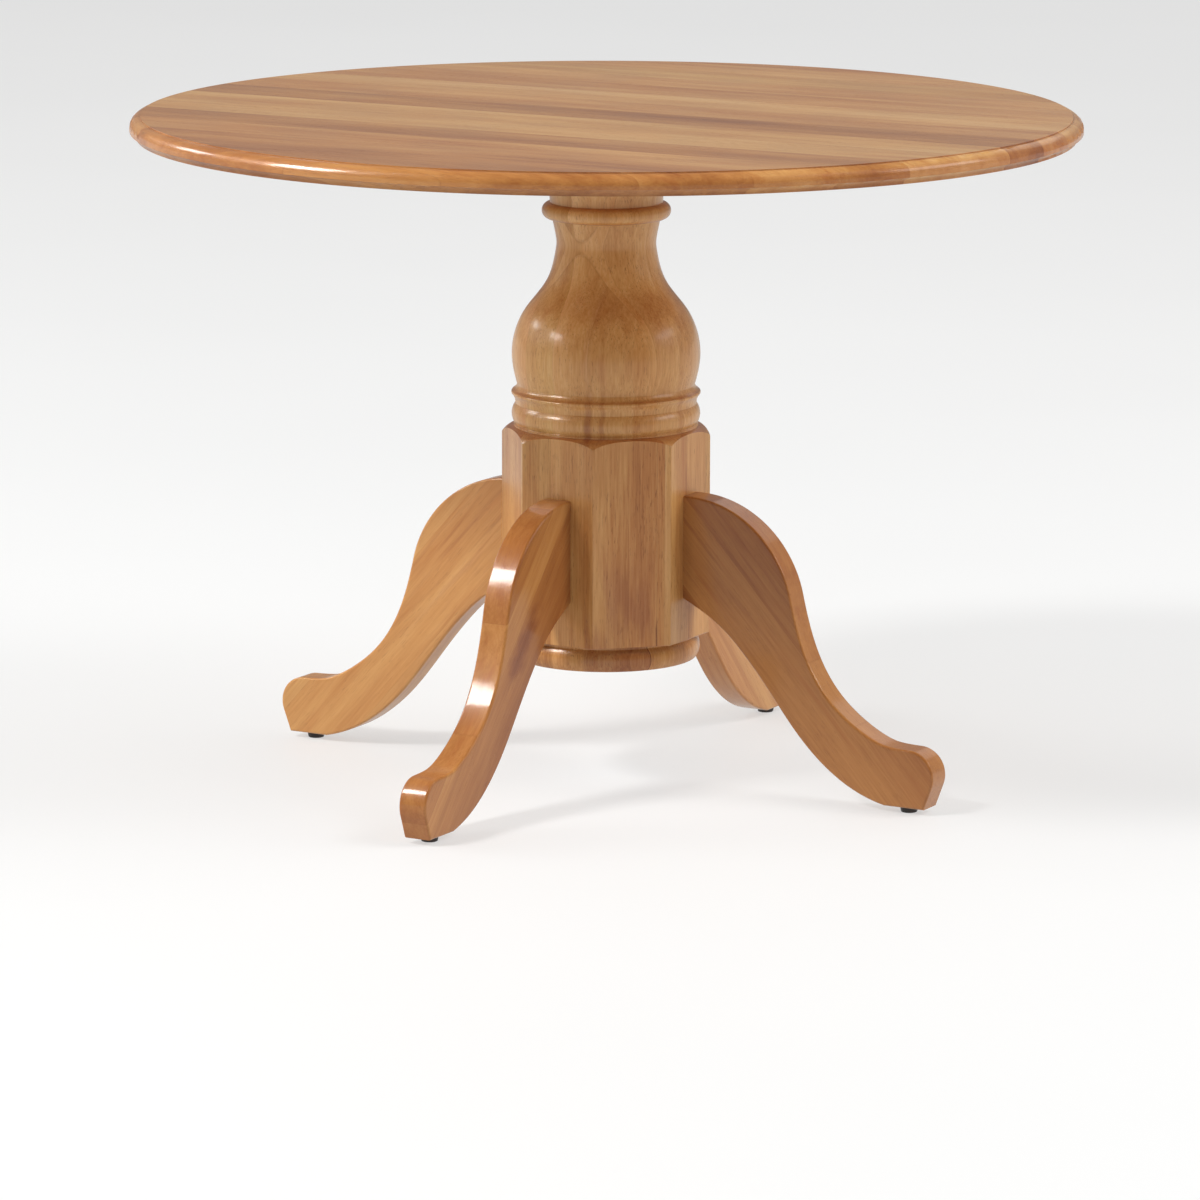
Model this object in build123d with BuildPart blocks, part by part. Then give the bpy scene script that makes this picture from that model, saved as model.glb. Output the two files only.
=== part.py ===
from build123d import *
import os
from math import cos, radians, sin

# Round pedestal table in solid hardwood. Millimetres, +Z up, floor at z = 0.
# The origin is on the floor under the middle of the column. The four legs
# point along -Y (front), +X (right), +Y (back) and -X (left).

os.makedirs("parts", exist_ok=True)

# ---------------------------------------------------------------- whole table
table_height = 760.0
top_radius = 535.0
top_thickness = 25.0
bearer_thickness = 22.0
top_underside = table_height - top_thickness
column_top = top_underside - bearer_thickness
edge_quirk = 1.5              # small step where the moulded edge begins
edge_round = 12.0             # quarter-round along the upper edge
edge_cove = 7.5               # hollow along the lower edge

# --------------------------------------------------------------------- column
column_bottom = 139.5
octagon_apothem = 110.0
octagon_bottom = 168.0
shoulder_height = 385.0       # where the turned shoulder leaves the octagon
shoulder_radius = 20.75       # quarter-round that scallops the octagon's faces
shoulder_center = 100.7
octagon_reach = shoulder_center + shoulder_radius
octagon_arris = 1.0           # rounding of the octagon's upright edges
octagon_chamfer = 0.7         # round its lower end
hollow_width = 100.0
hollow_corner = 4.0
hollow_top = 455.0

# ----------------------------------------------------------------------- legs
leg_thickness = 34.0
leg_arris = 2.6
knee_radius = 135.0           # the round over the top of the leg
knee_center_height = 200.0
knee_end_angle = 13.0
leg_lower_end = 217.0         # where the underside of the leg meets the column
toe_radius = 30.0
toe_center = (397.0, 43.0)
toe_slant = 20.5              # front of the toe, degrees back from upright
foot_height = 7.0             # flat underside of the foot
foot_inner_end = 366.0
leg_angles = {"front": -90.0, "right": 0.0, "back": 90.0, "left": 180.0}

# ------------------------------------------------------------- leg fastenings
bolt_heights = (250.0, 302.0)
bolt_radius = 4.0             # M8 hanger bolt
bolt_in_leg = 45.0
bolt_inside_hollow = 16.0
bolt_end_chamfer = 0.8
bolt_clearance = 0.5
snug = 0.05                   # radial gap round a pin that is driven in
hole_spare = 1.0              # how much deeper a blind hole is than its pin
dowel_height = 276.0
dowel_radius = 5.0
dowel_length = 40.0
dowel_end_chamfer = 1.0
washer_radius = 10.0
washer_clearance = 0.2
washer_thickness = 1.6
lock_washer_radius = 7.2
lock_washer_thickness = 2.0
lock_washer_slot = 1.6
nut_across_flats = 13.0
nut_thickness = 6.5

# --------------------------------------------------------------------- glides
glide_distance = 390.0
glide_radius = 10.0
glide_floor_radius = 9.0
glide_rim = 2.0               # upright upper part of the plastic base
glide_edge_radius = 1.0
stem_radius = 3.0             # M6
stem_end_chamfer = 0.7
stem_fit = 0.06
stem_seat = 2.5               # bottom of the stem, inside the plastic base
stem_top = 30.0
insert_radius = 5.0
insert_flange_radius = 7.0
insert_flange_thickness = 1.5
insert_length = 12.0
stem_room_top = 34.0

# -------------------------------------------------------- bearers and screws
bearer_length = 760.0
bearer_width = 60.0
bearer_taper_length = 60.0
bearer_tip_thickness = 10.0
bearer_arris = 1.5
lag_distance = 40.0
lag_radius = 4.0
lag_head_recess = 8.0
lag_recess_clearance = 1.0
lag_head_height = 5.3
lag_washer_thickness = 1.6
lag_washer_radius = 8.0
lag_in_column = 50.0
top_screw_distances = (150.0, 290.0)
top_screw_radius = 2.5
top_screw_head_radius = 5.0
top_screw_head_height = 3.0
top_screw_head_taper = 20.0
top_screw_in_top = 14.0


def leg_plane(angle):
    """Upright plane through the column axis: x is outward along the leg, y is up."""
    a = radians(angle)
    return Plane(origin=(0, 0, 0), x_dir=(cos(a), sin(a), 0), z_dir=(sin(a), -cos(a), 0))


def outward_plane(angle, distance, height):
    """Plane facing outward along the leg, at a distance from the column axis."""
    a = radians(angle)
    outward = (cos(a), sin(a), 0)
    origin = (distance * cos(a), distance * sin(a), height)
    return Plane(origin=origin, x_dir=(-sin(a), cos(a), 0), z_dir=outward)


def level_plane(angle, distance, height):
    """Level plane centred over a point in the leg's direction, at a distance from the axis."""
    a = radians(angle)
    return Plane.XY.move(Location((distance * cos(a), distance * sin(a), height)))


def foot_plane(angle, height):
    """Level plane centred on the glide of one leg."""
    return level_plane(angle, glide_distance, height)


def finish(name, solid):
    solid.label = name
    export_step(solid, f"parts/{name}.step")


# ------------------------------------------------------------------ table top
# One round panel of edge-glued boards with a moulded edge: a small quirk and a
# quarter-round above, a short upright edge, and a cove underneath.
with BuildPart() as table_top:
    with BuildSketch(Plane.XZ):
        with BuildLine():
            quirk_radius = top_radius - edge_round
            quirk_bottom = table_height - edge_quirk
            Polyline((0, top_underside), (0, table_height), (quirk_radius, table_height))
            Line((quirk_radius, table_height), (quirk_radius, quirk_bottom))
            CenterArc((quirk_radius, quirk_bottom - edge_round), edge_round, 90, -90)
            Line((top_radius, quirk_bottom - edge_round), (top_radius, top_underside + edge_cove))
            CenterArc((top_radius, top_underside), edge_cove, 90, 90)
            Line((top_radius - edge_cove, top_underside), (0, top_underside))
        make_face()
    revolve(axis=Axis.Z)
    for angle in leg_angles.values():
        for distance in top_screw_distances:
            with BuildSketch(level_plane(angle, distance, top_underside)):
                Circle(top_screw_radius + snug)
            extrude(amount=top_screw_in_top + hole_spare, mode=Mode.SUBTRACT)
finish("table_top", table_top.part)


# -------------------------------------------------------------- cross bearers
# Two bars half-lapped over the column, tapered underneath towards their ends.
def cross_bearer(name, long_angle, lap_low, lap_high):
    half = bearer_length / 2
    tip_bottom = top_underside - bearer_tip_thickness
    with BuildPart() as bearer:
        with BuildSketch(leg_plane(long_angle)):
            with BuildLine():
                Polyline(
                    (-half, top_underside),
                    (half, top_underside),
                    (half, tip_bottom),
                    (half - bearer_taper_length, column_top),
                    (-half + bearer_taper_length, column_top),
                    (-half, tip_bottom),
                    close=True,
                )
            make_face()
        extrude(amount=bearer_width / 2, both=True)
        lower_edges = bearer.edges().filter_by_position(Axis.Z, 0, top_underside - 1)
        chamfer(lower_edges, bearer_arris)
        with BuildSketch(Plane.XY.offset(lap_low)):
            Rectangle(bearer_width, bearer_width)
        extrude(amount=lap_high - lap_low, mode=Mode.SUBTRACT)
        for angle in (long_angle, long_angle + 180):
            with BuildSketch(level_plane(angle, lag_distance, column_top)):
                Circle(lag_radius + bolt_clearance)
            extrude(amount=bearer_thickness, mode=Mode.SUBTRACT)
            with BuildSketch(level_plane(angle, lag_distance, top_underside - lag_head_recess)):
                Circle(lag_washer_radius + lag_recess_clearance)
            extrude(amount=lag_head_recess, mode=Mode.SUBTRACT)
            for distance in top_screw_distances:
                with BuildSketch(level_plane(angle, distance, column_top)):
                    Circle(top_screw_radius + bolt_clearance)
                extrude(amount=bearer_thickness, mode=Mode.SUBTRACT)
    finish(name, bearer.part)


lap_middle = column_top + bearer_thickness / 2
cross_bearer("bearer_left_to_right", 0, lap_middle, top_underside)
cross_bearer("bearer_front_to_back", 90, column_top, lap_middle)

# --------------------------------------------------------------------- column
# A glued-up hardwood post, turned all over except for its octagonal middle. The
# square hollow, open below, is where the leg bolts are tightened.
with BuildSketch() as octagon:
    with Locations(Rotation(0, 0, 22.5)):
        RegularPolygon(octagon_apothem, 8, major_radius=False)
    fillet(octagon.vertices(), octagon_arris)

with BuildPart() as column:
    with BuildSketch(Plane.XZ):
        with BuildLine():
            # foot disc and the small neck over it
            Polyline((0, column_top), (0, column_bottom), (103.6, column_bottom))
            ThreePointArc((103.6, column_bottom), (107.8, 151.5), (103.8, 163.5))
            Polyline((103.8, 163.5), (103.2, 164.5), (103.2, octagon_bottom), (octagon_reach, octagon_bottom))
            # octagon blank, its quarter-round shoulder and a thin fillet over that
            Line((octagon_reach, octagon_bottom), (octagon_reach, shoulder_height))
            RadiusArc((octagon_reach, shoulder_height), (104.6, 405.38), -shoulder_radius)
            Polyline((104.6, 405.38), (104.6, 406.4), (103.2, 407.9))
            # large bead, cove, thin bead and the flare up to the vase
            ThreePointArc((103.2, 407.9), (106.9, 419), (102.7, 430.8))
            ThreePointArc((102.7, 430.8), (103.9, 437.3), (106.7, 441.6))
            ThreePointArc((106.7, 441.6), (107.3, 443.4), (105.8, 445.6))
            ThreePointArc((105.8, 445.6), (102.4, 448.6), (100.8, 452.5))
            # vase
            Spline(
                (100.8, 452.5),
                (106.8, 488),
                (92.5, 536),
                (65, 575),
                (57, 606),
                (61, 640),
                tangents=((0.28, 1), (0.22, 1)),
            )
            # upper bead, cove and collar
            Line((61, 640), (66, 641))
            ThreePointArc((66, 641), (73, 650), (66, 659))
            Polyline((66, 659), (64, 659.5), (64, 662))
            ThreePointArc((64, 662), (69.5, 679), (84, 689))
            Line((84, 689), (87.5, 690))
            ThreePointArc((87.5, 690), (93, 701.5), (88, column_top))
            Line((88, column_top), (0, column_top))
        make_face()
    revolve(axis=Axis.Z)

    with BuildSketch(Plane.XY.offset(octagon_bottom)):
        Circle(octagon_reach + hole_spare)
        add(octagon.sketch, mode=Mode.SUBTRACT)
    extrude(amount=shoulder_radius + shoulder_height - octagon_bottom, mode=Mode.SUBTRACT)
    level_faces = column.faces().filter_by_position(Axis.Z, octagon_bottom, octagon_bottom)
    underside = level_faces.sort_by(SortBy.AREA)[-1]
    chamfer(underside.outer_wire().edges(), octagon_chamfer)

    with BuildSketch(Plane.XY.offset(column_bottom)):
        RectangleRounded(hollow_width, hollow_width, hollow_corner)
    extrude(amount=hollow_top - column_bottom, mode=Mode.SUBTRACT)

    for angle in leg_angles.values():
        for height in bolt_heights:
            with BuildSketch(outward_plane(angle, hollow_width / 2 - hole_spare, height)):
                Circle(bolt_radius + bolt_clearance)
            extrude(amount=octagon_apothem - hollow_width / 2 + 2 * hole_spare, mode=Mode.SUBTRACT)
        with BuildSketch(outward_plane(angle, octagon_apothem - dowel_length / 2 - hole_spare, dowel_height)):
            Circle(dowel_radius + snug)
        extrude(amount=dowel_length, mode=Mode.SUBTRACT)
        with BuildSketch(level_plane(angle, lag_distance, column_top)):
            Circle(lag_radius + snug)
        extrude(amount=-lag_in_column - hole_spare, mode=Mode.SUBTRACT)
finish("column", column.part)


# ----------------------------------------------------------------------- legs
def make_leg(name, angle):
    a = radians(angle)
    outward = Axis(origin=(0, 0, 0), direction=(cos(a), sin(a), 0))
    sideways = Axis(origin=(0, 0, 0), direction=(-sin(a), cos(a), 0))
    knee_center = (octagon_apothem + 5, knee_center_height)
    knee_top = knee_center_height + knee_radius
    knee_end = radians(knee_end_angle)
    knee_exit = (knee_center[0] + knee_radius * cos(knee_end), knee_center[1] + knee_radius * sin(knee_end))
    toe_x, toe_z = toe_center
    slant = radians(toe_slant)
    toe_exit = (toe_x + toe_radius * cos(slant), toe_z - toe_radius * sin(slant))
    foot_drop = toe_exit[1] - foot_height
    foot_corner = (toe_exit[0] - foot_drop * sin(slant) / cos(slant), foot_height)
    with BuildPart() as leg:
        with BuildSketch(leg_plane(angle)):
            with BuildLine():
                Line((octagon_apothem, knee_top), (knee_center[0], knee_top))
                CenterArc(knee_center, knee_radius, 90, knee_end_angle - 90)
                Spline(
                    knee_exit,
                    (262, 177),
                    (302, 114.5),
                    (357, 78.5),
                    (toe_x, toe_z + toe_radius),
                    tangents=((sin(knee_end), -cos(knee_end)), (1, -0.02)),
                )
                CenterArc(toe_center, toe_radius, 90, -90 - toe_slant)
                Polyline(toe_exit, foot_corner, (foot_inner_end, foot_height))
                Spline(
                    (foot_inner_end, foot_height),
                    (321, 23.5),
                    (265, 67),
                    (215, 128),
                    (160, 187),
                    (octagon_apothem, leg_lower_end),
                    tangents=((-1, 0.22), (-1, 0.5)),
                )
                Line((octagon_apothem, leg_lower_end), (octagon_apothem, knee_top))
            make_face()
        extrude(amount=leg_thickness / 2, both=True)
        joint_edges = leg.faces().sort_by(outward)[0].edges()
        cross_edges = leg.edges().filter_by(sideways)
        outline = [e for e in leg.edges() if e not in joint_edges and e not in cross_edges]
        fillet(outline, leg_arris)

        for height in bolt_heights:
            with BuildSketch(outward_plane(angle, octagon_apothem, height)):
                Circle(bolt_radius + snug)
            extrude(amount=bolt_in_leg + hole_spare, mode=Mode.SUBTRACT)
        with BuildSketch(outward_plane(angle, octagon_apothem, dowel_height)):
            Circle(dowel_radius + snug)
        extrude(amount=dowel_length / 2 + hole_spare, mode=Mode.SUBTRACT)

        with BuildSketch(foot_plane(angle, foot_height)):
            Circle(insert_flange_radius + snug)
        extrude(amount=insert_flange_thickness, mode=Mode.SUBTRACT)
        with BuildSketch(foot_plane(angle, foot_height)):
            Circle(insert_radius + snug)
        extrude(amount=insert_length, mode=Mode.SUBTRACT)
        with BuildSketch(foot_plane(angle, foot_height)):
            Circle(stem_radius + bolt_clearance)
        extrude(amount=stem_room_top - foot_height, mode=Mode.SUBTRACT)
    finish(name, leg.part)


for side, angle in leg_angles.items():
    make_leg(f"leg_{side}", angle)

# ------------------------------------------------------------- leg fastenings
hollow_wall = hollow_width / 2
bolt_inner_end = hollow_wall - bolt_inside_hollow
bolt_outer_end = octagon_apothem + bolt_in_leg

with BuildPart() as hanger_bolts:
    for angle in leg_angles.values():
        for height in bolt_heights:
            with BuildSketch(outward_plane(angle, bolt_inner_end, height)):
                Circle(bolt_radius)
            extrude(amount=bolt_outer_end - bolt_inner_end)
    chamfer(hanger_bolts.edges().filter_by(GeomType.CIRCLE), bolt_end_chamfer)
finish("leg_hanger_bolts", hanger_bolts.part)

with BuildPart() as leg_dowels:
    for angle in leg_angles.values():
        with BuildSketch(outward_plane(angle, octagon_apothem - dowel_length / 2, dowel_height)):
            Circle(dowel_radius)
        extrude(amount=dowel_length)
    chamfer(leg_dowels.edges().filter_by(GeomType.CIRCLE), dowel_end_chamfer)
finish("leg_dowels", leg_dowels.part)

with BuildPart() as flat_washers:
    for angle in leg_angles.values():
        for height in bolt_heights:
            with BuildSketch(outward_plane(angle, hollow_wall - washer_thickness, height)):
                Circle(washer_radius)
                Circle(bolt_radius + washer_clearance, mode=Mode.SUBTRACT)
            extrude(amount=washer_thickness)
finish("leg_bolt_washers", flat_washers.part)

lock_washer_face = hollow_wall - washer_thickness - lock_washer_thickness
with BuildPart() as lock_washers:
    for angle in leg_angles.values():
        for height in bolt_heights:
            with BuildSketch(outward_plane(angle, lock_washer_face, height)):
                Circle(lock_washer_radius)
                Circle(bolt_radius + washer_clearance, mode=Mode.SUBTRACT)
                with Locations((0, lock_washer_radius)):
                    Rectangle(lock_washer_slot, 2 * lock_washer_radius, mode=Mode.SUBTRACT)
            extrude(amount=lock_washer_thickness)
finish("leg_bolt_spring_washers", lock_washers.part)

with BuildPart() as hex_nuts:
    for angle in leg_angles.values():
        for height in bolt_heights:
            with BuildSketch(outward_plane(angle, lock_washer_face - nut_thickness, height)):
                RegularPolygon(nut_across_flats / 2, 6, major_radius=False)
                Circle(bolt_radius + snug, mode=Mode.SUBTRACT)
            extrude(amount=nut_thickness)
finish("leg_bolt_nuts", hex_nuts.part)


# --------------------------------------------------------------------- glides
# A screw-in glide: a plastic base moulded round a threaded steel stem, which
# runs in a flanged insert let into the flat of the foot.
def make_glide(side, angle):
    with BuildPart() as base:
        with BuildSketch(foot_plane(angle, 0)):
            Circle(glide_floor_radius)
        with BuildSketch(foot_plane(angle, foot_height - glide_rim)):
            Circle(glide_radius)
        loft()
        with BuildSketch(foot_plane(angle, foot_height - glide_rim)):
            Circle(glide_radius)
        extrude(amount=glide_rim)
        bottom = base.faces().sort_by(Axis.Z)[0]
        fillet(bottom.edges(), glide_edge_radius)
        with BuildSketch(foot_plane(angle, stem_seat)):
            Circle(stem_radius)
        extrude(amount=foot_height - stem_seat, mode=Mode.SUBTRACT)
    finish(f"glide_base_{side}", base.part)

    with BuildPart() as stem:
        with BuildSketch(foot_plane(angle, stem_seat)):
            Circle(stem_radius)
        extrude(amount=stem_top - stem_seat)
        chamfer(stem.faces().sort_by(Axis.Z)[-1].edges(), stem_end_chamfer)
    finish(f"glide_stem_{side}", stem.part)


for side, angle in leg_angles.items():
    make_glide(side, angle)

with BuildPart() as glide_inserts:
    for angle in leg_angles.values():
        with BuildSketch(foot_plane(angle, foot_height)):
            Circle(insert_flange_radius)
        extrude(amount=insert_flange_thickness)
        with BuildSketch(foot_plane(angle, foot_height)):
            Circle(insert_radius)
        extrude(amount=insert_length)
        with BuildSketch(foot_plane(angle, foot_height)):
            Circle(stem_radius + stem_fit)
        extrude(amount=insert_length, mode=Mode.SUBTRACT)
finish("glide_inserts", glide_inserts.part)

# ----------------------------------------------------- screws round the top
lag_seat = top_underside - lag_head_recess
lag_head_bottom = lag_seat + lag_washer_thickness
lag_point = column_top - lag_in_column

with BuildPart() as lag_screws:
    for angle in leg_angles.values():
        with BuildSketch(level_plane(angle, lag_distance, lag_point)):
            Circle(lag_radius)
        extrude(amount=lag_head_bottom - lag_point)
        with BuildSketch(level_plane(angle, lag_distance, lag_head_bottom)):
            RegularPolygon(nut_across_flats / 2, 6, major_radius=False)
        extrude(amount=lag_head_height)
finish("column_lag_screws", lag_screws.part)

with BuildPart() as lag_washers:
    for angle in leg_angles.values():
        with BuildSketch(level_plane(angle, lag_distance, lag_seat)):
            Circle(lag_washer_radius)
            Circle(lag_radius + washer_clearance, mode=Mode.SUBTRACT)
        extrude(amount=lag_washer_thickness)
finish("column_lag_washers", lag_washers.part)

with BuildPart() as top_screws:
    for angle in leg_angles.values():
        for distance in top_screw_distances:
            with BuildSketch(level_plane(angle, distance, column_top)):
                Circle(top_screw_radius)
            extrude(amount=bearer_thickness + top_screw_in_top)
            with BuildSketch(level_plane(angle, distance, column_top)):
                Circle(top_screw_head_radius)
            extrude(amount=-top_screw_head_height, taper=top_screw_head_taper)
finish("top_fixing_screws", top_screws.part)
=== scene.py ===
from math import cos, pi, radians, sin

import bpy
from mathutils import Matrix, Vector

# The looks of a round pedestal table: honey-coloured hardwood under a satin-gloss
# lacquer, dark plastic glides and zinc-plated fastenings. Metres, +Z up.

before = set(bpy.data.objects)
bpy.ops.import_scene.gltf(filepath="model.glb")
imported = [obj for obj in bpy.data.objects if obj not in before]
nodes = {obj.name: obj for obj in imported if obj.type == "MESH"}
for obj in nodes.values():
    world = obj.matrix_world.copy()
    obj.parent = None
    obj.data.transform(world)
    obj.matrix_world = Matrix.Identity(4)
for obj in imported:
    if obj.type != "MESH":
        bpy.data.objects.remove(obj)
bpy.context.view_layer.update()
scene = bpy.context.scene

X = Vector((1, 0, 0))
Y = Vector((0, 1, 0))
UP = Vector((0, 0, 1))
LEG_DIRECTIONS = {"front": -Y, "right": X, "back": Y, "left": -X}


def srgb(red, green, blue):
    """A colour given in 0 to 255 display values, as the linear values that shaders use."""

    def linear(value):
        v = value / 255
        return v / 12.92 if v <= 0.04045 else ((v + 0.055) / 1.055) ** 2.4

    return (linear(red), linear(green), linear(blue), 1.0)


# ------------------------------------------------------------------ node trees
class Tree:
    """Short names for the shader nodes that the materials and the room are made of."""

    def __init__(self, owner, output="ShaderNodeOutputMaterial"):
        owner.use_nodes = True
        self.owner = owner
        self.nodes = owner.node_tree.nodes
        self.links = owner.node_tree.links
        self.nodes.clear()
        self.output = self.nodes.new(output)

    def put(self, socket, value):
        """Links a node's output to the socket, or sets the socket to a plain value."""
        if isinstance(value, bpy.types.NodeSocket):
            self.links.new(value, socket)
        else:
            socket.default_value = value

    def math(self, operation, a, b=0.0, c=0.0):
        node = self.nodes.new("ShaderNodeMath")
        node.operation = operation
        for socket, value in zip(node.inputs, (a, b, c)):
            self.put(socket, value)
        return node.outputs[0]

    def vector(self, operation, a, b=(0, 0, 0)):
        node = self.nodes.new("ShaderNodeVectorMath")
        node.operation = operation
        self.put(node.inputs[0], a)
        self.put(node.inputs[1], b)
        return node.outputs["Value" if operation in ("DOT_PRODUCT", "LENGTH") else "Vector"]

    def dot(self, a, b):
        return self.vector("DOT_PRODUCT", a, b)

    def size_of(self, value):
        return self.math("ABSOLUTE", value)

    def combine(self, x, y, z):
        node = self.nodes.new("ShaderNodeCombineXYZ")
        for socket, value in zip(node.inputs, (x, y, z)):
            self.put(socket, value)
        return node.outputs[0]

    def noise(self, where, detail=2.0, distortion=0.0):
        node = self.nodes.new("ShaderNodeTexNoise")
        node.inputs["Scale"].default_value = 1.0
        node.inputs["Detail"].default_value = detail
        node.inputs["Roughness"].default_value = 0.5
        node.inputs["Distortion"].default_value = distortion
        self.put(node.inputs["Vector"], where)
        return node.outputs["Fac"]

    def clouds(self, scale, detail=2.0):
        """Noise fixed to the object, finer where the scale along X, Y or Z is larger."""
        return self.noise(self.vector("MULTIPLY", self.place(), scale), detail=detail)

    def random(self, number):
        """Three unrelated random values, the same for the same number."""
        node = self.nodes.new("ShaderNodeTexWhiteNoise")
        node.noise_dimensions = "1D"
        self.put(node.inputs["W"], number)
        split = self.nodes.new("ShaderNodeSeparateColor")
        self.put(split.inputs[0], node.outputs["Color"])
        return split.outputs

    def ramp(self, factor, stops):
        node = self.nodes.new("ShaderNodeValToRGB")
        elements = node.color_ramp.elements
        while len(elements) < len(stops):
            elements.new(0.5)
        for element, (position, color) in zip(elements, stops):
            element.position = position
            element.color = color
        self.put(node.inputs[0], factor)
        return node.outputs[0]

    def remap(self, value, low, high, to_low=0.0, to_high=1.0):
        """A smooth step from to_low, at low, to to_high, at high."""
        node = self.nodes.new("ShaderNodeMapRange")
        node.interpolation_type = "SMOOTHSTEP"
        limits = {"From Min": low, "From Max": high, "To Min": to_low, "To Max": to_high}
        for key, number in limits.items():
            node.inputs[key].default_value = number
        self.put(node.inputs["Value"], value)
        return node.outputs["Result"]

    def tint(self, amount, color, by):
        """The colour multiplied by another, by a given amount."""
        node = self.nodes.new("ShaderNodeMix")
        node.data_type = "RGBA"
        node.blend_type = "MULTIPLY"
        self.put(node.inputs["Factor"], amount)
        self.put(node.inputs[6], color)
        self.put(node.inputs[7], by)
        return node.outputs[2]

    def choose(self, factor, a, b):
        node = self.nodes.new("ShaderNodeMix")
        node.data_type = "FLOAT"
        self.put(node.inputs["Factor"], factor)
        self.put(node.inputs[2], a)
        self.put(node.inputs[3], b)
        return node.outputs[0]

    def bump(self, height, distance):
        node = self.nodes.new("ShaderNodeBump")
        node.inputs["Strength"].default_value = 1.0
        node.inputs["Distance"].default_value = distance
        self.put(node.inputs["Height"], height)
        return node.outputs[0]

    def place(self):
        return self.nodes.new("ShaderNodeTexCoord").outputs["Object"]

    def geometry(self, name):
        return self.nodes.new("ShaderNodeNewGeometry").outputs[name]

    def light_path(self, name):
        return self.nodes.new("ShaderNodeLightPath").outputs[name]

    def shader(self, kind, **values):
        node = self.nodes.new(kind)
        for key, value in values.items():
            self.put(node.inputs[key.replace("_", " ")], value)
        return node.outputs[0]

    def mix_shader(self, factor, a, b):
        node = self.nodes.new("ShaderNodeMixShader")
        for socket, value in zip(node.inputs, (factor, a, b)):
            self.put(socket, value)
        return node.outputs[0]

    def show(self, shader):
        """Puts the shader on the surface, and gives back the material or world."""
        self.links.new(shader, self.output.inputs["Surface"])
        return self.owner


# ------------------------------------------------------------------------ wood
HONEY = [
    (0.00, srgb(106, 56, 22)),
    (0.28, srgb(150, 91, 43)),
    (0.50, srgb(179, 121, 65)),
    (0.72, srgb(200, 149, 89)),
    (1.00, srgb(218, 174, 118)),
]
PLAIN_TONE = 0.52             # where plain wood lies between dark and light honey
BOARD_HUES = [                # boards differ a little: some pinker, some straw
    (0.0, srgb(255, 243, 230)),
    (0.5, srgb(255, 255, 255)),
    (1.0, srgb(246, 255, 240)),
]
BLUSH_TINT = srgb(226, 178, 150)
PORE_TINT = srgb(132, 88, 60)
END_GRAIN_TINT = srgb(203, 146, 98)
GLUE_TINT = srgb(150, 104, 74)
STAIN_TINT = srgb(208, 184, 196)
CRACK_TINT = srgb(120, 72, 44)

# Each pattern by the length and thickness of its marks, its detail and its distortion.
DRIFT = (0.45, 0.045, 1.0, 0.0)
STREAKS = (0.16, 0.010, 3.0, 0.35)
BANDS = (0.30, 0.018, 2.0, 0.8)
FIBRES = (0.045, 0.0022, 2.0, 0.0)
PORES = (0.011, 0.0011, 1.0, 0.0)
BLUSH = (0.22, 0.014, 2.0, 0.5)
PORE_CROWDS = (0.10, 0.020, 1.0, 0.0)

# How strongly each pattern shows.
DRIFT_DEPTH = 0.50
STREAK_DEPTH = 0.34
RING_DEPTH = 0.012
HUE_DEPTH = 0.45
BLUSH_DEPTH = 0.25
PORE_DEPTH = 1.1              # times the depth of the fibres
GLUE_DEPTH = 0.14
CRACK_DEPTH = 0.8

BOARD_SHIFTS = (7.0, 3.0, 3.0)    # boards are cut this far apart in the tree at most
RINGS_IN_BANDS = 46.0             # radians of growth rings over the range of the bands
GLUE_LINE = 0.0005
GRAIN_RELIEF = 0.00012
PORE_RELIEF = -1.0                # against the whole relief, as are the next two
FIBRE_RELIEF = 0.35
LINE_RELIEF = -0.25
WOOD_ROUGHNESS = (0.34, 0.46)
PORE_ROUGHNESS = 0.15
SMEARS = (9, 9, 9)
LACQUER_IOR = 1.5


def equal_boards(tree, v, width, start):
    """Which board of a row of equal ones a point is in, and how far it is from a joint."""
    count = tree.math("DIVIDE", tree.math("SUBTRACT", v, start), width)
    gap = tree.math("MULTIPLY", tree.math("PINGPONG", count, 0.5), width)
    return tree.math("FLOOR", count), gap


def planks(along, across, through, width, start):
    """Where a point lies in a panel of flat boards: along the grain, across it and through it,
    which board it's in, how far it is from a joint, and how much lighter that board is."""

    def coordinates(tree, place):
        u, v, w = (tree.dot(place, axis) for axis in (along, across, through))
        board, gap = equal_boards(tree, v, width, start)
        return u, v, w, board, gap, 0.0

    return coordinates


def sawn(along, across, through, seams, edge_painted_light):
    """The same for boards of unequal width: each seam's place, and how much lighter the next
    board is. The edges may be made lighter than the faces, as painted light."""

    def coordinates(tree, place):
        u, v, w = (tree.dot(place, axis) for axis in (along, across, through))
        board, gap, lift = 0.0, 1.0, 0.0
        for seam, lighter in seams:
            beyond = tree.math("GREATER_THAN", v, seam)
            board = tree.math("ADD", beyond, board)
            gap = tree.math("MINIMUM", tree.size_of(tree.math("SUBTRACT", v, seam)), gap)
            lift = tree.math("MULTIPLY_ADD", beyond, lighter, lift)
        # painted light: surfaces that don't face sideways, the leg's top edge and underside, are
        # made lighter
        on_face = tree.size_of(tree.dot(tree.geometry("Normal"), through))
        lift = tree.math("ADD", tree.remap(on_face, 0.3, 0.8, edge_painted_light, 0.0), lift)
        return u, v, w, board, gap, lift

    return coordinates


# The column's heights; the painted light that makes its turned part lighter than the flats,
# standing in for the low light from the sides on it; and how much darker its foot disc is.
FLATS_TOP = 0.400
DISC_TOP = 0.162
TURNED_PAINTED_LIGHT = 0.11
DISC_LIFT = -0.06
OTHER_SIDE = 40.0             # keeps the board numbers of the post's four panels apart
FACE_PANEL = 17.0


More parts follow.
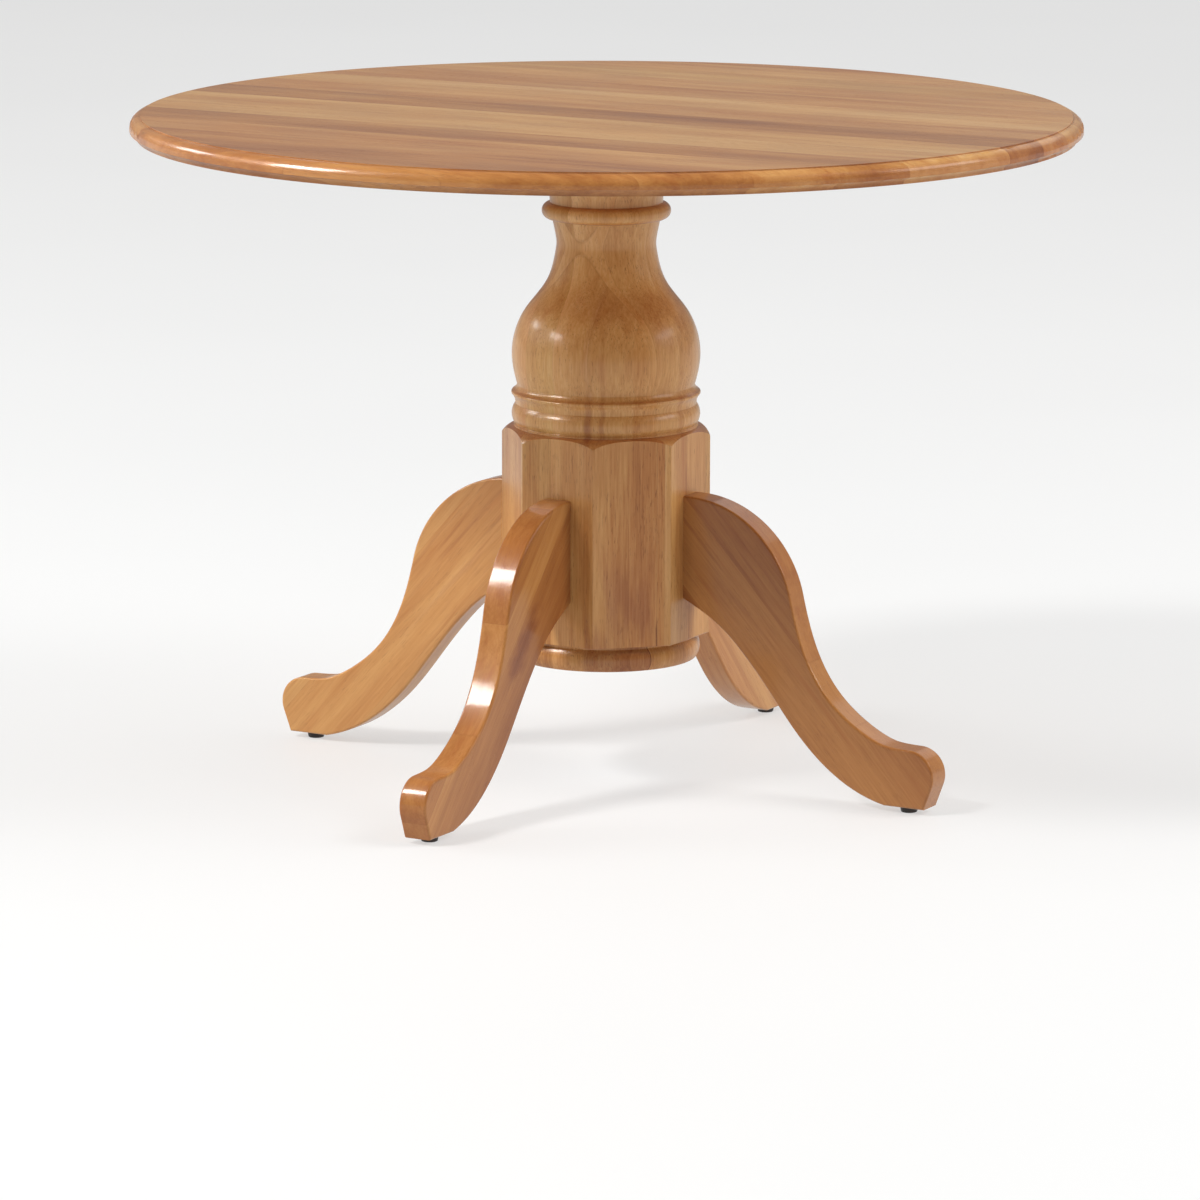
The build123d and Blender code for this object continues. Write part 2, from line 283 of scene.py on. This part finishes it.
def post(panel_face, width, start):
    """The same for a post built up as a box: front and back panels between thinner sides. Its
    turned part is made lighter than the flats below, as painted light for the low side light on
    it, and its foot disc is darker."""

    def coordinates(tree, place):
        x, y, z = (tree.dot(place, axis) for axis in (X, Y, UP))
        face_panel = tree.math("GREATER_THAN", tree.size_of(y), panel_face)
        v = tree.choose(face_panel, y, x)
        w = tree.choose(face_panel, x, y)
        board, gap = equal_boards(tree, v, width, start)
        in_face_panel = tree.math("MULTIPLY", face_panel, FACE_PANEL)
        panel = tree.math("MULTIPLY_ADD", tree.math("SIGN", w), OTHER_SIDE, in_face_panel)
        # painted light: the turned part above the flats is made lighter
        turned = tree.remap(z, FLATS_TOP, FLATS_TOP + 0.008, 0.0, TURNED_PAINTED_LIGHT)
        disc = tree.remap(z, DISC_TOP, DISC_TOP + 0.004, DISC_LIFT, 0.0)
        return z, v, w, tree.math("ADD", board, panel), gap, tree.math("ADD", turned, disc)

    return coordinates


def wood(
    name,
    coordinates,
    grain,
    seed,
    tone=0.0,             # lighter above 0, darker below
    board_spread=0.16,    # how much boards differ in tone
    figure=1.0,           # strength of the broad bands and streaks
    fibre=0.20,           # strength of the fine lines and pores
    end_grain=0.5,        # how much darker the end grain is
    coat=0.7,
    gloss=0.14,           # the lacquer's roughness
    marks=None,           # gives the stain and, if the wood has one, the crack
):
    """Lacquered hardwood as a solid pattern: boards, streaks, fibres, pores and glue lines."""
    tree = Tree(bpy.data.materials.new(name))
    *here, board, gap, lift = coordinates(tree, tree.place())
    draws = tree.random(tree.math("ADD", board, seed))
    board_tone, board_hue = draws[0], draws[1]

    # each board is cut from another place in the tree
    u, v, w = (
        tree.math("MULTIPLY_ADD", draw, shift, value)
        for draw, shift, value in zip(draws, BOARD_SHIFTS, here)
    )

    def pattern(length, thickness, detail, distortion):
        sizes = ((u, length), (v, thickness), (w, thickness))
        where = tree.combine(*(tree.math("DIVIDE", value, size) for value, size in sizes))
        return tree.noise(where, detail=detail, distortion=distortion)

    def add(total, part, amount):
        centred = tree.math("SUBTRACT", part, 0.5)
        return tree.math("MULTIPLY_ADD", centred, amount, total)

    fibres = pattern(*FIBRES)
    rings = tree.math("SINE", tree.math("MULTIPLY", pattern(*BANDS), RINGS_IN_BANDS))
    value = add(PLAIN_TONE + tone, board_tone, board_spread)
    # the lift holds the lighter boards, and painted light too: the right leg's lighter edges and
    # the column's lighter turned part
    value = tree.math("ADD", value, lift)
    value = add(value, pattern(*DRIFT), DRIFT_DEPTH * figure)
    value = add(value, pattern(*STREAKS), STREAK_DEPTH * figure)
    value = add(value, fibres, fibre)
    value = tree.math("MULTIPLY_ADD", rings, RING_DEPTH, value)
    color = tree.ramp(value, HONEY)
    color = tree.tint(HUE_DEPTH, color, tree.ramp(board_hue, BOARD_HUES))

    # reddish streaks along the grain
    blush = tree.remap(pattern(*BLUSH), 0.56, 0.75)
    color = tree.tint(tree.math("MULTIPLY", blush, BLUSH_DEPTH), color, BLUSH_TINT)

    # open pores: short dark dashes, thicker in some places than others
    crowd = tree.remap(pattern(*PORE_CROWDS), 0.40, 0.66)
    dash = tree.remap(pattern(*PORES), 0.60, 0.70)
    dash = tree.math("MULTIPLY", dash, tree.math("MULTIPLY_ADD", crowd, 0.65, 0.35))
    color = tree.tint(tree.math("MULTIPLY", dash, fibre * PORE_DEPTH), color, PORE_TINT)

    # end grain drinks more stain
    end = tree.remap(tree.size_of(tree.dot(tree.geometry("Normal"), grain)), 0.45, 1.0)
    color = tree.tint(tree.math("MULTIPLY", end, end_grain), color, END_GRAIN_TINT)

    # glue lines
    line = tree.remap(gap, 0.0, GLUE_LINE, 1.0, 0.0)
    color = tree.tint(tree.math("MULTIPLY", line, GLUE_DEPTH), color, GLUE_TINT)

    if marks:
        stain, crack = marks(tree, tree.place())
        color = tree.tint(stain, color, STAIN_TINT)
        if crack is not None:
            color = tree.tint(tree.math("MULTIPLY", crack, CRACK_DEPTH), color, CRACK_TINT)
            line = tree.math("MAXIMUM", line, crack)

    height = tree.math("MULTIPLY", dash, PORE_RELIEF)
    height = tree.math("MULTIPLY_ADD", fibres, FIBRE_RELIEF, height)
    height = tree.math("MULTIPLY_ADD", line, LINE_RELIEF, height)
    roughness = tree.remap(tree.clouds(SMEARS, detail=3.0), 0.3, 0.7, *WOOD_ROUGHNESS)
    roughness = tree.math("MULTIPLY_ADD", dash, PORE_ROUGHNESS, roughness)
    shader = tree.shader(
        "ShaderNodeBsdfPrincipled",
        Base_Color=color,
        Roughness=roughness,
        Normal=tree.bump(height, GRAIN_RELIEF),
        Specular_IOR_Level=0.25,
        Coat_Weight=coat,
        Coat_Roughness=gloss,
        Coat_IOR=LACQUER_IOR,
    )
    return tree.show(shader)


# ----------------------------------------------------------- metal and plastic
def zinc_steel():
    """Zinc plate, with fine crystals and duller patches."""
    tree = Tree(bpy.data.materials.new("zinc_steel"))
    crystals = tree.clouds((420, 420, 420), detail=3.0)
    dull = tree.clouds((60, 60, 60))
    shader = tree.shader(
        "ShaderNodeBsdfPrincipled",
        Base_Color=tree.ramp(crystals, [(0.3, srgb(168, 170, 168)), (0.7, srgb(205, 206, 202))]),
        Metallic=1.0,
        Roughness=tree.remap(dull, 0.3, 0.7, 0.28, 0.48),
        Normal=tree.bump(crystals, 0.00005),
    )
    return tree.show(shader)


def glide_plastic():
    """Dark brown moulded plastic, with a fine grain and paler worn patches."""
    tree = Tree(bpy.data.materials.new("glide_plastic"))
    grain = tree.clouds((1500, 1500, 1500))
    wear = tree.clouds((120, 120, 120), detail=3.0)
    shader = tree.shader(
        "ShaderNodeBsdfPrincipled",
        Base_Color=tree.ramp(wear, [(0.3, srgb(34, 26, 22)), (0.75, srgb(58, 46, 40))]),
        Roughness=tree.remap(wear, 0.3, 0.7, 0.38, 0.58),
        Normal=tree.bump(grain, 0.00006),
    )
    return tree.show(shader)


def paint(node_name, material):
    mesh = nodes[node_name].data
    mesh.materials.clear()
    mesh.materials.append(material)


# ------------------------------------------------------------------------ legs
# Three or four boards each, their grain running down from the column to the toe. Each
# seam is given by its distance across the grain, with the step in tone beyond it.
LEG_GRAIN_SLOPE = radians(48)
LEG_SEAMS = {
    "front": [(0.232, 0.0), (0.303, 0.19), (0.331, -0.16)],
    "right": [(0.238, 0.01), (0.307, -0.04)],
    "back": [(0.262, 0.04), (0.325, -0.05)],
    "left": [(0.254, -0.02), (0.336, 0.03)],
}
LEG_SEEDS = {"front": 31, "right": 12, "back": 23, "left": 44}
# partly each leg's own tone and partly painted light and shade: the left leg made lighter, the
# front and right legs darker, for how the lamps fall on each
LEG_TONES_AND_PAINTED_LIGHT = {"front": -0.18, "right": -0.11, "back": 0.04, "left": 0.17}
LEG_FIGURE = {"front": 0.8, "right": 0.42, "back": 0.9, "left": 0.9}
LEG_END_GRAIN = {"front": 0.35, "right": 0.05, "back": 0.4, "left": 0.4}
# painted light: the right leg's top edge is made lighter, standing in for the pale sheen and
# light from above on it
LEG_EDGE_PAINTED_LIGHT = {"front": 0.0, "right": 0.07, "back": 0.0, "left": 0.0}
STAIN_ALONG = 0.012           # the middle of the front leg's stain
STAIN_ACROSS = 0.286
STAIN_HALF_LENGTH = 0.055
STAIN_HALF_WIDTH = 0.019
STAIN_FRAY = 1.6


def front_leg_marks(along, across):
    """A grey mineral stain halfway down the leg."""

    def marks(tree, place):
        t = tree.math("SUBTRACT", tree.dot(place, along), STAIN_ALONG)
        n = tree.math("SUBTRACT", tree.dot(place, across), STAIN_ACROSS)
        t = tree.math("DIVIDE", t, STAIN_HALF_LENGTH)
        n = tree.math("DIVIDE", n, STAIN_HALF_WIDTH)
        fray = tree.math("SUBTRACT", tree.clouds((38, 38, 38), detail=3.0), 0.5)
        far = tree.vector("LENGTH", tree.combine(t, n, 0.0))
        far = tree.math("MULTIPLY_ADD", fray, STAIN_FRAY, far)
        return tree.remap(far, 0.35, 1.1, 0.75, 0.0), None

    return marks


def leg_streaks(along, across):
    """Darker streaks along the grain, strongest close under the joint with the column."""

    def marks(tree, place):
        t = tree.dot(place, along)
        n = tree.dot(place, across)
        where = tree.combine(tree.math("MULTIPLY", t, 9.0), tree.math("MULTIPLY", n, 150.0), 0.0)
        line = tree.remap(tree.noise(where, detail=3.0, distortion=0.3), 0.50, 0.68)
        return tree.math("MULTIPLY", line, tree.remap(t, -0.16, 0.10, 0.42, 0.10)), None

    return marks


for side, outward in LEG_DIRECTIONS.items():
    along = outward * cos(LEG_GRAIN_SLOPE) - UP * sin(LEG_GRAIN_SLOPE)
    across = outward * sin(LEG_GRAIN_SLOPE) + UP * cos(LEG_GRAIN_SLOPE)
    leg_marks = front_leg_marks if side == "front" else leg_streaks
    leg_wood = wood(
        f"leg_{side}_wood",
        sawn(along, across, outward.cross(UP), LEG_SEAMS[side], LEG_EDGE_PAINTED_LIGHT[side]),
        along,
        LEG_SEEDS[side],
        LEG_TONES_AND_PAINTED_LIGHT[side],
        board_spread=0.05,
        figure=LEG_FIGURE[side],
        fibre=0.17,
        end_grain=LEG_END_GRAIN[side],
        gloss=0.115,
        marks=leg_marks(along, across),
    )
    paint(f"leg_{side}", leg_wood)

# ---------------------------------------------------------------------- column
# Upright boards; front and back panels lie over narrower sides. Heartwood shows in two
# streaks near the top and again in the foot disc, and the front joint shows as a fine
# crack near the floor.
PANEL_FACE = 0.057
COLUMN_BOARD = 0.042
COLUMN_BOARD_START = -0.0087
COLUMN_TONE = 0.105
HEART_STREAKS = ((0.033, 0.0055, 0.7), (0.048, 0.0035, 0.4))    # middle, half width, strength
HEART_CORE = 0.0015
HEART_WAVER = 0.008
DARK_BOARD = 0.0333
DARK_BOARD_EDGE = 0.004
CRACK_HALF_WIDTH = 0.0006
CRACK_TOP = 0.205
CRACK_FADE = 0.02


def column_marks(tree, place):
    x, y, z = (tree.dot(place, axis) for axis in (X, Y, UP))

    # two wavering streaks, strong around the shoulder and in the disc
    waver = tree.math("SUBTRACT", tree.clouds((60, 60, 7), detail=3.0), 0.5)
    waver = tree.math("MULTIPLY", waver, HEART_WAVER)
    heart = 0.0
    for middle, half_width, strength in HEART_STREAKS:
        offset = tree.size_of(tree.math("ADD", tree.math("SUBTRACT", x, middle), waver))
        streak = tree.remap(offset, HEART_CORE, half_width, strength, 0.0)
        heart = tree.math("MAXIMUM", streak, heart)
    up_high = tree.remap(z, FLATS_TOP - 0.005, FLATS_TOP + 0.008, 0.12, 1.0)
    fading = tree.remap(z, FLATS_TOP + 0.02, FLATS_TOP + 0.07, 1.0, 0.25)
    low_down = tree.remap(z, DISC_TOP - 0.007, DISC_TOP + 0.010, 0.8, 0.0)
    shown = tree.math("MAXIMUM", tree.math("MULTIPLY", up_high, fading), low_down)
    heart = tree.math("MULTIPLY", heart, shown)

    # one darker board, cloudy low on the flats and plain in the disc
    dark_board = tree.remap(x, DARK_BOARD, DARK_BOARD + DARK_BOARD_EDGE)
    cloudy = tree.remap(tree.clouds((45, 45, 11), detail=4.0), 0.38, 0.62)
    cloudy = tree.math("MULTIPLY", cloudy, tree.remap(z, 0.20, 0.34, 0.65, 0.0))
    in_disc = tree.remap(z, DISC_TOP - 0.002, DISC_TOP + 0.006, 0.55, 0.0)
    for strength in (cloudy, in_disc):
        heart = tree.math("MAXIMUM", heart, tree.math("MULTIPLY", strength, dark_board))
    in_front = tree.math("LESS_THAN", y, -PANEL_FACE)

    joint = tree.size_of(tree.math("ADD", y, PANEL_FACE))
    joint = tree.remap(joint, CRACK_HALF_WIDTH / 3, CRACK_HALF_WIDTH, 1.0, 0.0)
    near_floor = tree.remap(z, CRACK_TOP - CRACK_FADE, CRACK_TOP, 1.0, 0.15)
    return tree.math("MULTIPLY", heart, in_front), tree.math("MULTIPLY", joint, near_floor)


column_wood = wood(
    "column_wood",
    post(PANEL_FACE, COLUMN_BOARD, COLUMN_BOARD_START),
    UP,
    seed=7,
    tone=COLUMN_TONE,
    figure=1.15,
    fibre=0.40,
    coat=0.62,
    gloss=0.20,
    marks=column_marks,
)
paint("column", column_wood)

# ------------------------------------------------------- top, bearers and metal
TOP_BOARD = 0.078
TOP_BOARD_START = 0.02
SINGLE_BOARD = 0.3            # wider than a bearer or a dowel, so no joint shows
STEEL_WORDS = ("bolt", "screw", "washer", "insert", "stem")

top_boards = planks(X, Y, UP, TOP_BOARD, TOP_BOARD_START)
along_x = planks(X, Y, UP, SINGLE_BOARD, SINGLE_BOARD / 2)
along_y = planks(Y, X, UP, SINGLE_BOARD, SINGLE_BOARD / 2)
bearer_x_wood = wood("bearer_x_wood", along_x, X, seed=3, tone=-0.02, coat=0.25, gloss=0.25)
bearer_y_wood = wood("bearer_y_wood", along_y, Y, seed=9, tone=-0.02, coat=0.25, gloss=0.25)
paint("table_top", wood("top_wood", top_boards, X, seed=5, tone=0.05, board_spread=0.34))
paint("bearer_left_to_right", bearer_x_wood)
paint("bearer_front_to_back", bearer_y_wood)
paint("leg_dowels", wood("dowel_wood", along_x, X, seed=2, tone=0.2, coat=0.0))

steel = zinc_steel()
plastic = glide_plastic()
for node_name in nodes:
    if any(word in node_name for word in STEEL_WORDS):
        paint(node_name, steel)
    elif node_name.startswith("glide_base"):
        paint(node_name, plastic)

# ----------------------------------------------------------------------- floor
FLOOR_HALF = 40.0
FLOOR_GLOW = 0.525            # it lights itself a little, and more where it's far off
FAR_FLOOR_GLOW = 0.73
FAR_FLOOR_START = 9.0
FAR_FLOOR_END = 15.0
FLOOR_IN_LACQUER = 0.62       # how bright the wood's reflections of it are


def pale_floor():
    """Matt and pale, plain to the lacquer's reflections, and clear when seen from below."""
    tree = Tree(bpy.data.materials.new("pale_floor"))
    patches = tree.clouds((0.8, 0.8, 0.8))
    distance = tree.vector("LENGTH", tree.place())
    lit = tree.shader(
        "ShaderNodeBsdfPrincipled",
        Base_Color=tree.ramp(patches, [(0.3, srgb(151, 151, 150)), (0.7, srgb(154, 154, 153))]),
        Roughness=0.55,
        Specular_IOR_Level=0.2,
        Emission_Color=(1, 1, 1, 1),
        Emission_Strength=tree.remap(
            distance, FAR_FLOOR_START, FAR_FLOOR_END, FLOOR_GLOW, FAR_FLOOR_GLOW
        ),
    )
    mirrored = tree.shader("ShaderNodeEmission", Strength=FLOOR_IN_LACQUER)
    clear = tree.shader("ShaderNodeBsdfTransparent")
    above = tree.mix_shader(tree.light_path("Is Glossy Ray"), lit, mirrored)
    return tree.show(tree.mix_shader(tree.geometry("Backfacing"), above, clear))


floor_mesh = bpy.data.meshes.new("floor")
corner_signs = ((-1, -1), (1, -1), (1, 1), (-1, 1))
corners = [(x * FLOOR_HALF, y * FLOOR_HALF, 0) for x, y in corner_signs]
floor_mesh.from_pydata(corners, [], [(0, 1, 2, 3)])
floor = bpy.data.objects.new("floor", floor_mesh)
scene.collection.objects.link(floor)
floor_mesh.materials.append(pale_floor())

# ---------------------------------------------------------------------- camera
CAMERA_AZIMUTH = radians(29.48)
CAMERA_DISTANCE = 7.2095
CAMERA_HEIGHT = 1.622
CAMERA_PITCH = radians(11.143)
CAMERA_YAW = radians(0.05)
CAMERA_ROLL = radians(0.12)
CAMERA_LENS = 193.4
SENSOR_WIDTH = 36.0
VIEW_END = 200.0

away = Vector((-sin(CAMERA_AZIMUTH), cos(CAMERA_AZIMUTH), 0))
camera_data = bpy.data.cameras.new("camera")
camera_data.lens = CAMERA_LENS
camera_data.sensor_width = SENSOR_WIDTH
camera_data.clip_end = VIEW_END
camera = bpy.data.objects.new("camera", camera_data)
scene.collection.objects.link(camera)
aim = Matrix.Rotation(CAMERA_AZIMUTH + CAMERA_YAW, 4, "Z")
aim = aim @ Matrix.Rotation(pi / 2 - CAMERA_PITCH, 4, "X")
aim = aim @ Matrix.Rotation(CAMERA_ROLL, 4, "Z")
camera.matrix_world = Matrix.Translation(-away * CAMERA_DISTANCE + UP * CAMERA_HEIGHT) @ aim
scene.camera = camera

# ---------------------------------------------------------------------- lights
LIGHTS_FACE = Vector((0, 0, 0.25))
right = Vector((cos(CAMERA_AZIMUTH), sin(CAMERA_AZIMUTH), 0))


def compass(azimuth, elevation):
    """A direction in steps right, away and up from the camera: azimuth turns from the
    camera's side of the table to its right, and elevation is above the floor."""
    a = radians(azimuth)
    e = radians(elevation)
    return (sin(a) * cos(e), -cos(a) * cos(e), sin(e))


def softbox(name, direction, distance, size, power, shades=True, shines=True):
    """A flat light that faces the base, from a direction that compass gives. It can light
    the surfaces, show in the lacquer, or both."""
    sideways, ahead, upward = direction
    toward = (right * sideways + away * ahead + UP * upward).normalized()
    data = bpy.data.lights.new(name, "AREA")
    data.shape = "RECTANGLE"
    data.size, data.size_y = size
    data.energy = power
    light = bpy.data.objects.new(name, data)
    scene.collection.objects.link(light)
    light.location = LIGHTS_FACE + toward * distance
    light.rotation_mode = "QUATERNION"
    light.rotation_quaternion = toward.to_track_quat("Z", "Y")
    light.visible_diffuse = shades
    light.visible_glossy = shines
    if not shades:
        data.cycles.max_bounces = 0     # no reflections of reflections


softbox("key", compass(-60, 46), 8.0, size=(1.5, 1.5), power=440, shines=False)
softbox("window", compass(-105, 20), 8.0, size=(4.0, 2.0), power=230, shines=False)
softbox("side", compass(76, 45), 8.0, size=(4.0, 3.0), power=285, shines=False)
softbox("low_side", compass(88, 18), 8.0, size=(4.0, 2.0), power=110, shines=False)
softbox("key_shine", compass(-71, 35.7), 2.2, size=(0.54, 0.54), power=30, shades=False)
softbox("window_shine", compass(-112, 29), 2.6, size=(0.55, 0.42), power=8, shades=False)
softbox("side_shine", compass(85, 30), 4.0, size=(1.8, 1.0), power=18, shades=False)
softbox("back_shine", compass(152, 31), 5.0, size=(3.0, 1.4), power=8, shades=False)

# ------------------------------------------------------------------------ room
# Pale at the sides and behind the table, dim behind the camera, middling overhead.
ROOM_BRIGHT = 1.15
ROOM_DIM = 0.22
ROOM_TOP = 0.60
ROOM_IN_LACQUER = 0.24        # how bright the wood's reflections of it are
BACKDROP = srgb(247, 247, 247)

world = bpy.data.worlds.new("studio")
scene.world = world
room = Tree(world, "ShaderNodeOutputWorld")
gaze = room.nodes.new("ShaderNodeTexCoord").outputs["Generated"]
walls = room.remap(room.dot(gaze, -away), 0.05, 0.65, ROOM_BRIGHT, ROOM_DIM)
overhead = room.remap(room.dot(gaze, UP), 0.55, 0.85)
level = room.choose(overhead, walls, ROOM_TOP)
mirrored_level = room.math("MULTIPLY", level, ROOM_IN_LACQUER)
lit_room = room.shader("ShaderNodeBackground", Strength=level)
mirrored_room = room.shader("ShaderNodeBackground", Strength=mirrored_level)
backdrop = room.shader("ShaderNodeBackground", Color=BACKDROP)
lighting = room.mix_shader(room.light_path("Is Glossy Ray"), lit_room, mirrored_room)
room.show(room.mix_shader(room.light_path("Is Camera Ray"), lighting, backdrop))

scene.view_settings.view_transform = "Standard"
scene.view_settings.look = "None"
